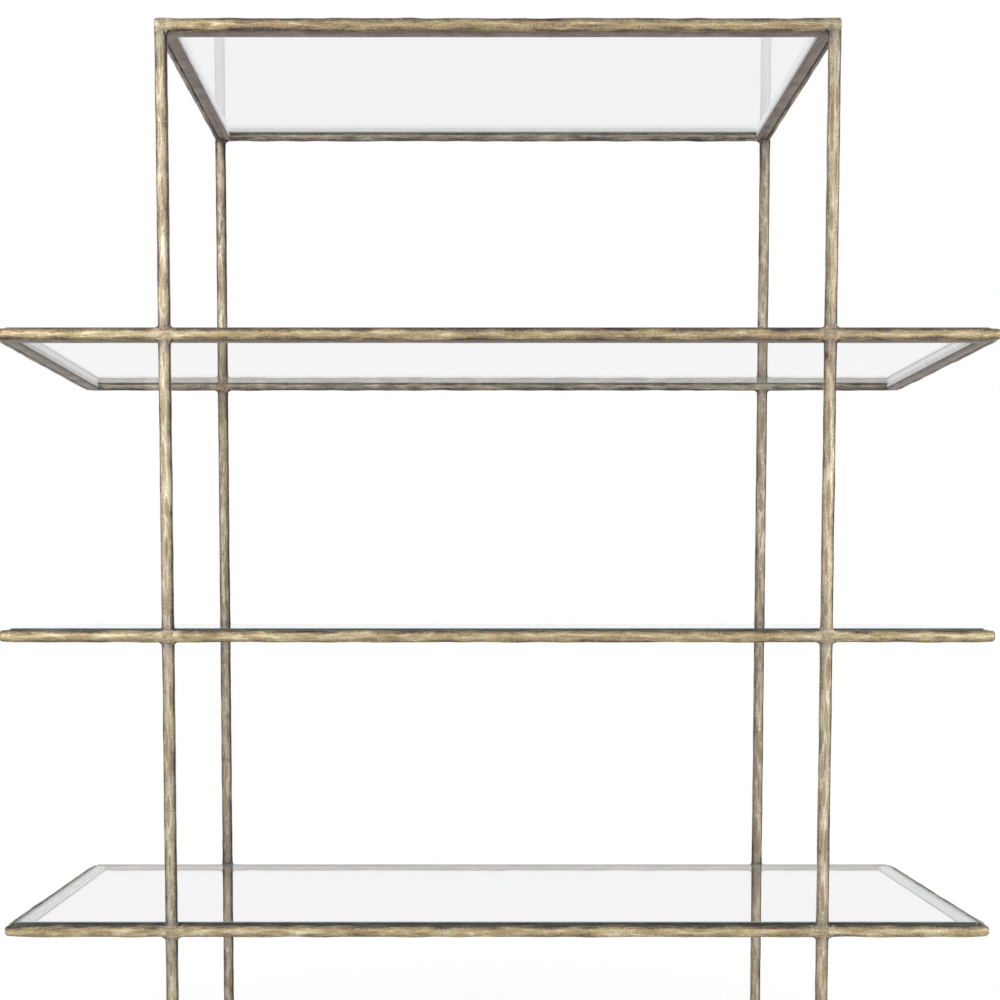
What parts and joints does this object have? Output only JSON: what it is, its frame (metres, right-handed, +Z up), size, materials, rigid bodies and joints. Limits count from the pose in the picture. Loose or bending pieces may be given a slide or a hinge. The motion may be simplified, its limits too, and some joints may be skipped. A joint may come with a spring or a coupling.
{
  "type": "etagere",
  "caption": "Open display etagere: hammered flat-bar frame in antique brass, narrow top and base, wide shelves between them running past the posts, loose clear glass panes.",
  "frame": {"origin": "centre of the bounding box at its base, on the floor", "axes": "+X to the right seen from the front, -Y is the front, +Z up"},
  "size_m": [1.524, 0.457, 1.9245],
  "materials": {
    "antique_brass": "hammered, antiqued and waxed",
    "ledge_metal": "flat bar, dark antiqued, dull",
    "clear_glass": "clear, with green ground edges",
    "glide_plastic": "moulded, matte"
  },
  "bodies": {
    "frame": {"rail_front_base": "antique_brass", "rail_back_base": "antique_brass", "rail_left_base": "antique_brass", "rail_right_base": "antique_brass", "ledge_base": "ledge_metal", "rail_front_lower": "antique_brass", "rail_back_lower": "antique_brass", "rail_left_lower": "antique_brass", "rail_right_lower": "antique_brass", "ledge_lower": "ledge_metal", "rail_front_middle": "antique_brass", "rail_back_middle": "antique_brass", "rail_left_middle": "antique_brass", "rail_right_middle": "antique_brass", "ledge_middle": "ledge_metal", "rail_front_upper": "antique_brass", "rail_back_upper": "antique_brass", "rail_left_upper": "antique_brass", "rail_right_upper": "antique_brass", "ledge_upper": "ledge_metal", "rail_front_top": "antique_brass", "rail_back_top": "antique_brass", "rail_left_top": "antique_brass", "rail_right_top": "antique_brass", "ledge_top": "ledge_metal", "post_front_left_1": "antique_brass", "post_front_right_1": "antique_brass", "post_back_left_1": "antique_brass", "post_back_right_1": "antique_brass", "post_front_left_2": "antique_brass", "post_front_right_2": "antique_brass", "post_back_left_2": "antique_brass", "post_back_right_2": "antique_brass", "post_front_left_3": "antique_brass", "post_front_right_3": "antique_brass", "post_back_left_3": "antique_brass", "post_back_right_3": "antique_brass", "post_front_left_4": "antique_brass", "post_front_right_4": "antique_brass", "post_back_left_4": "antique_brass", "post_back_right_4": "antique_brass", "foot_front_left": "antique_brass", "glide_front_left": "glide_plastic", "foot_front_right": "antique_brass", "glide_front_right": "glide_plastic", "foot_back_left": "antique_brass", "glide_back_left": "glide_plastic", "foot_back_right": "antique_brass", "glide_back_right": "glide_plastic"},
    "pane_base": {"glass_base": "clear_glass"},
    "pane_lower": {"glass_lower": "clear_glass"},
    "pane_middle": {"glass_middle": "clear_glass"},
    "pane_upper": {"glass_upper": "clear_glass"},
    "pane_top": {"glass_top": "clear_glass"}
  },
  "joints": [
    {"name": "pane_base_lift", "type": "slide", "parent": "frame", "child": "pane_base", "axis": [0, 0, 1], "range_m": [0, 0.1]},
    {"name": "pane_lower_lift", "type": "slide", "parent": "frame", "child": "pane_lower", "axis": [0, 0, 1], "range_m": [0, 0.1]},
    {"name": "pane_middle_lift", "type": "slide", "parent": "frame", "child": "pane_middle", "axis": [0, 0, 1], "range_m": [0, 0.1]},
    {"name": "pane_upper_lift", "type": "slide", "parent": "frame", "child": "pane_upper", "axis": [0, 0, 1], "range_m": [0, 0.1]},
    {"name": "pane_top_lift", "type": "slide", "parent": "frame", "child": "pane_top", "axis": [0, 0, 1], "range_m": [0, 0.1]}
  ]
}
